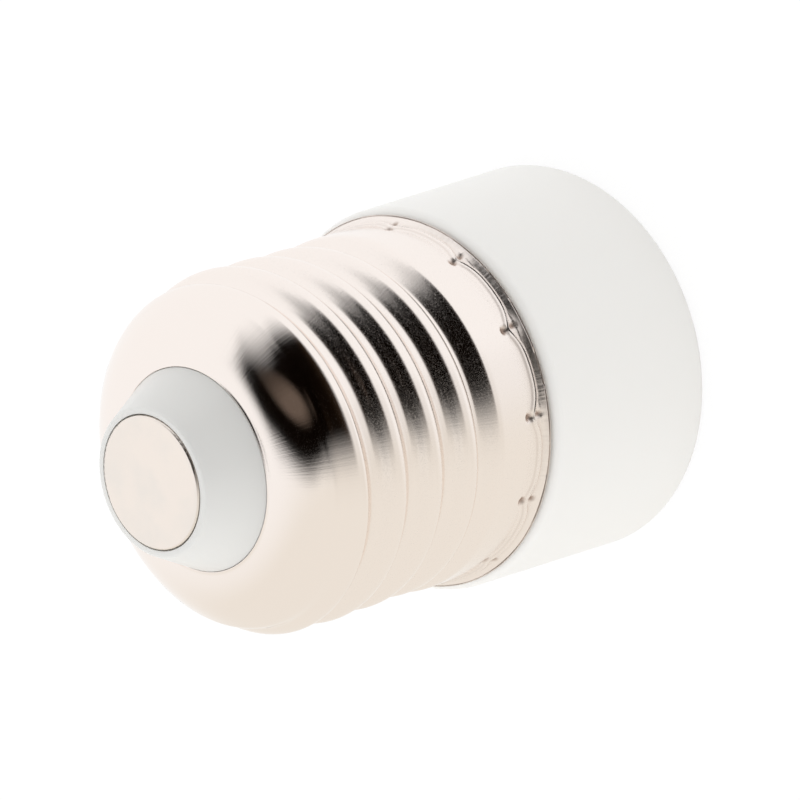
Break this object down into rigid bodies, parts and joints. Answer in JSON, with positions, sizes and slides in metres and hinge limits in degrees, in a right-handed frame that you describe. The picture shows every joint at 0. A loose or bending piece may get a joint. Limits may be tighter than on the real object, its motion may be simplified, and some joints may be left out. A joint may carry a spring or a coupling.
{
  "type": "lamp socket adapter",
  "caption": "White moulded adapter with a large crimped metal screw base and a smaller threaded lamp socket inside its collar.",
  "frame": {"origin": "centre of the collar's open rim, where the adapter stands", "axes": "+Z along the axis from the collar's open rim to the tip contact, +X towards the side strip inside"},
  "size_m": [0.0298, 0.0298, 0.042],
  "materials": {
    "white_plastic": "smooth moulded",
    "nickel_plate": "warm nickel plate, bright",
    "contact_metal": "nickel plate, fine satin",
    "sleeve_metal": "nickel plate",
    "spring_brass": "plain rolled",
    "screw_steel": "zinc plate"
  },
  "bodies": {
    "adapter": {"body": "white_plastic", "outer_screw_shell": "nickel_plate", "tip_contact": "contact_metal", "inner_screw_shell": "sleeve_metal", "side_strip": "spring_brass", "sleeve_screws": "screw_steel"},
    "tongue": {"centre_contact": "spring_brass"}
  },
  "joints": [
    {"name": "tongue_flex", "type": "hinge", "parent": "adapter", "child": "tongue", "pos_m": [0.00235, 0, 0.0261], "axis": [0, 1, 0], "range_deg": [0, 15], "stiffness_Nm_per_rad": 0.03, "deforming": ["centre_contact"]}
  ]
}
